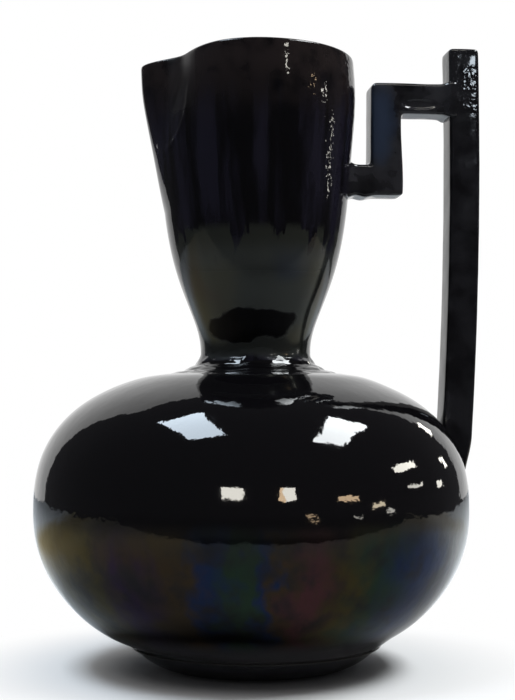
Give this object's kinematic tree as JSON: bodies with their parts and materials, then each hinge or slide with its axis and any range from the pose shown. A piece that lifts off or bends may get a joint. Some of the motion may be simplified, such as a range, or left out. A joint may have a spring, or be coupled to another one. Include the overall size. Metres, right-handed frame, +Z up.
{
  "type": "beaked jug",
  "caption": "Squat-bellied black lustre-glazed ceramic jug on a tapered foot, with a waisted flaring neck, a beaked pouring spout and an angular stepped handle of square bar.",
  "frame": {"origin": "on the turning axis of the jug, in the plane that the foot ring stands on", "axes": "+Z up along the turning axis; +X towards the handle, so the spout points to -X; +Y to the side, away from the viewer of the picture"},
  "size_m": [0.1997, 0.1944, 0.2789],
  "materials": {
    "black_glaze": "high-gloss black glaze with an oily, iridescent lustre",
    "glazed_slip": "the same glaze over a thin layer of fired slip"
  },
  "bodies": {
    "root": {"foot_ring": "black_glaze", "lower_bowl": "black_glaze", "shoulder": "black_glaze", "neck": "black_glaze", "spout": "black_glaze", "handle_stub": "black_glaze", "handle_drop": "black_glaze", "handle_bridge": "black_glaze", "handle_riser": "black_glaze", "foot_lute": "glazed_slip", "belly_lute": "glazed_slip", "neck_lute": "glazed_slip", "spout_lute": "glazed_slip", "stub_neck_lute": "glazed_slip", "stub_drop_lute": "glazed_slip", "drop_bridge_lute": "glazed_slip", "bridge_riser_lute": "glazed_slip", "riser_belly_lute": "glazed_slip"}
  },
  "joints": []
}
